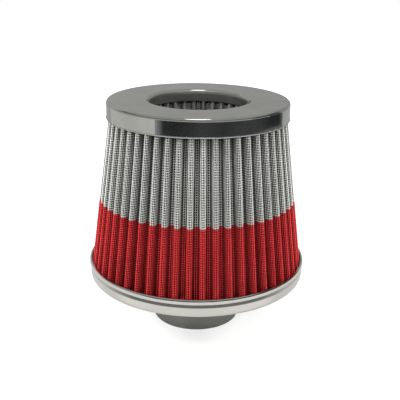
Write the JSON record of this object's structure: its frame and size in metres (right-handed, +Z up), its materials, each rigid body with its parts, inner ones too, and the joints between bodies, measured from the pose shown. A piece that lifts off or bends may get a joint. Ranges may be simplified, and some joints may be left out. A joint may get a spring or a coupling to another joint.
{
  "type": "performance air filter",
  "caption": "Twin-cone pleated pod air filter with polished metal end caps, a two-tone wire-screen wall and a plain neck for an intake hose.",
  "frame": {"origin": "centre of the neck's open end, the lowest point of the part as it stands", "axes": "+Z up along the filter's axis, from the neck to the top cap; the view in the picture is from -Y"},
  "size_m": [0.15, 0.15, 0.1555],
  "materials": {
    "polished_metal": "polished plated sheet",
    "neck_metal": "plain satin tube and cup",
    "bare_wire": "bright woven wire",
    "red_wire": "red coated woven wire",
    "media_cloth": "matt filter cloth",
    "sealant": "cast elastomer"
  },
  "bodies": {
    "root": {"top_cap": "polished_metal", "base_dish": "polished_metal", "inlet_neck": "neck_metal", "upper_screen": "bare_wire", "lower_screen": "red_wire", "outer_media": "media_cloth", "outer_backing": "bare_wire", "well_screen": "bare_wire", "well_media": "media_cloth", "well_backing": "bare_wire", "well_cup": "neck_metal", "top_sealant": "sealant", "base_sealant": "sealant", "cup_sealant": "sealant"}
  },
  "joints": []
}
